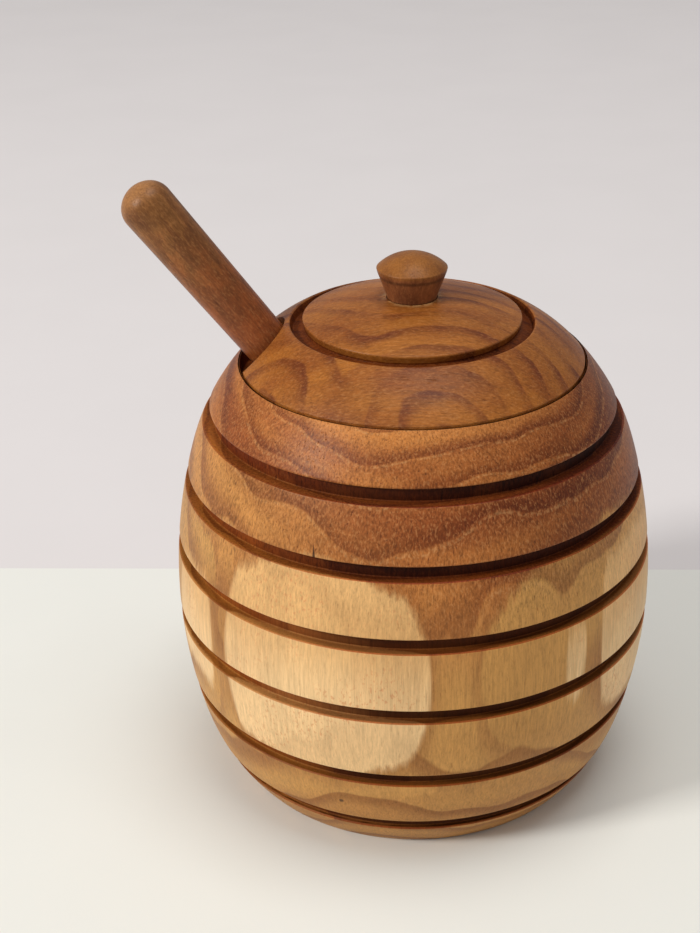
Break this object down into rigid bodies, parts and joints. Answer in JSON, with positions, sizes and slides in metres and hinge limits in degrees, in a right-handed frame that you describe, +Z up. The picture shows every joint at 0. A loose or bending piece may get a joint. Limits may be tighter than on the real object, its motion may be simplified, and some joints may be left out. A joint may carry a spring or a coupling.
{
  "type": "honey pot with lid and dipper",
  "caption": "Turned wooden honey pot, barrel shaped with ring grooves, an inset lift-off lid with a knob, and a ribbed dipper leaning out of the lid's notch.",
  "frame": {"origin": "centre of the flat base, on the table", "axes": "+Z up along the axis of the pot; the dipper leans towards -X; -Y is the side that the picture shows"},
  "size_m": [0.128, 0.12, 0.1547],
  "materials": {
    "pot_wood": "oiled satin, upright grain with reddish heartwood and pale sapwood",
    "lid_wood": "oiled satin, flat-sawn golden brown grain",
    "knob_wood": "oiled satin, upright grain",
    "dipper_wood": "oiled satin, lengthwise grain"
  },
  "bodies": {
    "pot": {"pot": "pot_wood"},
    "lid": {"lid": "lid_wood", "knob": "knob_wood"},
    "dipper": {"dipper": "dipper_wood"}
  },
  "joints": [
    {"name": "lid_lift", "type": "slide", "parent": "pot", "child": "lid", "axis": [0, 0, 1], "range_m": [0, 0.06]},
    {"name": "dipper_draw", "type": "slide", "parent": "pot", "child": "dipper", "axis": [-0.6111, 0, 0.7916], "range_m": [0, 0.068]}
  ]
}
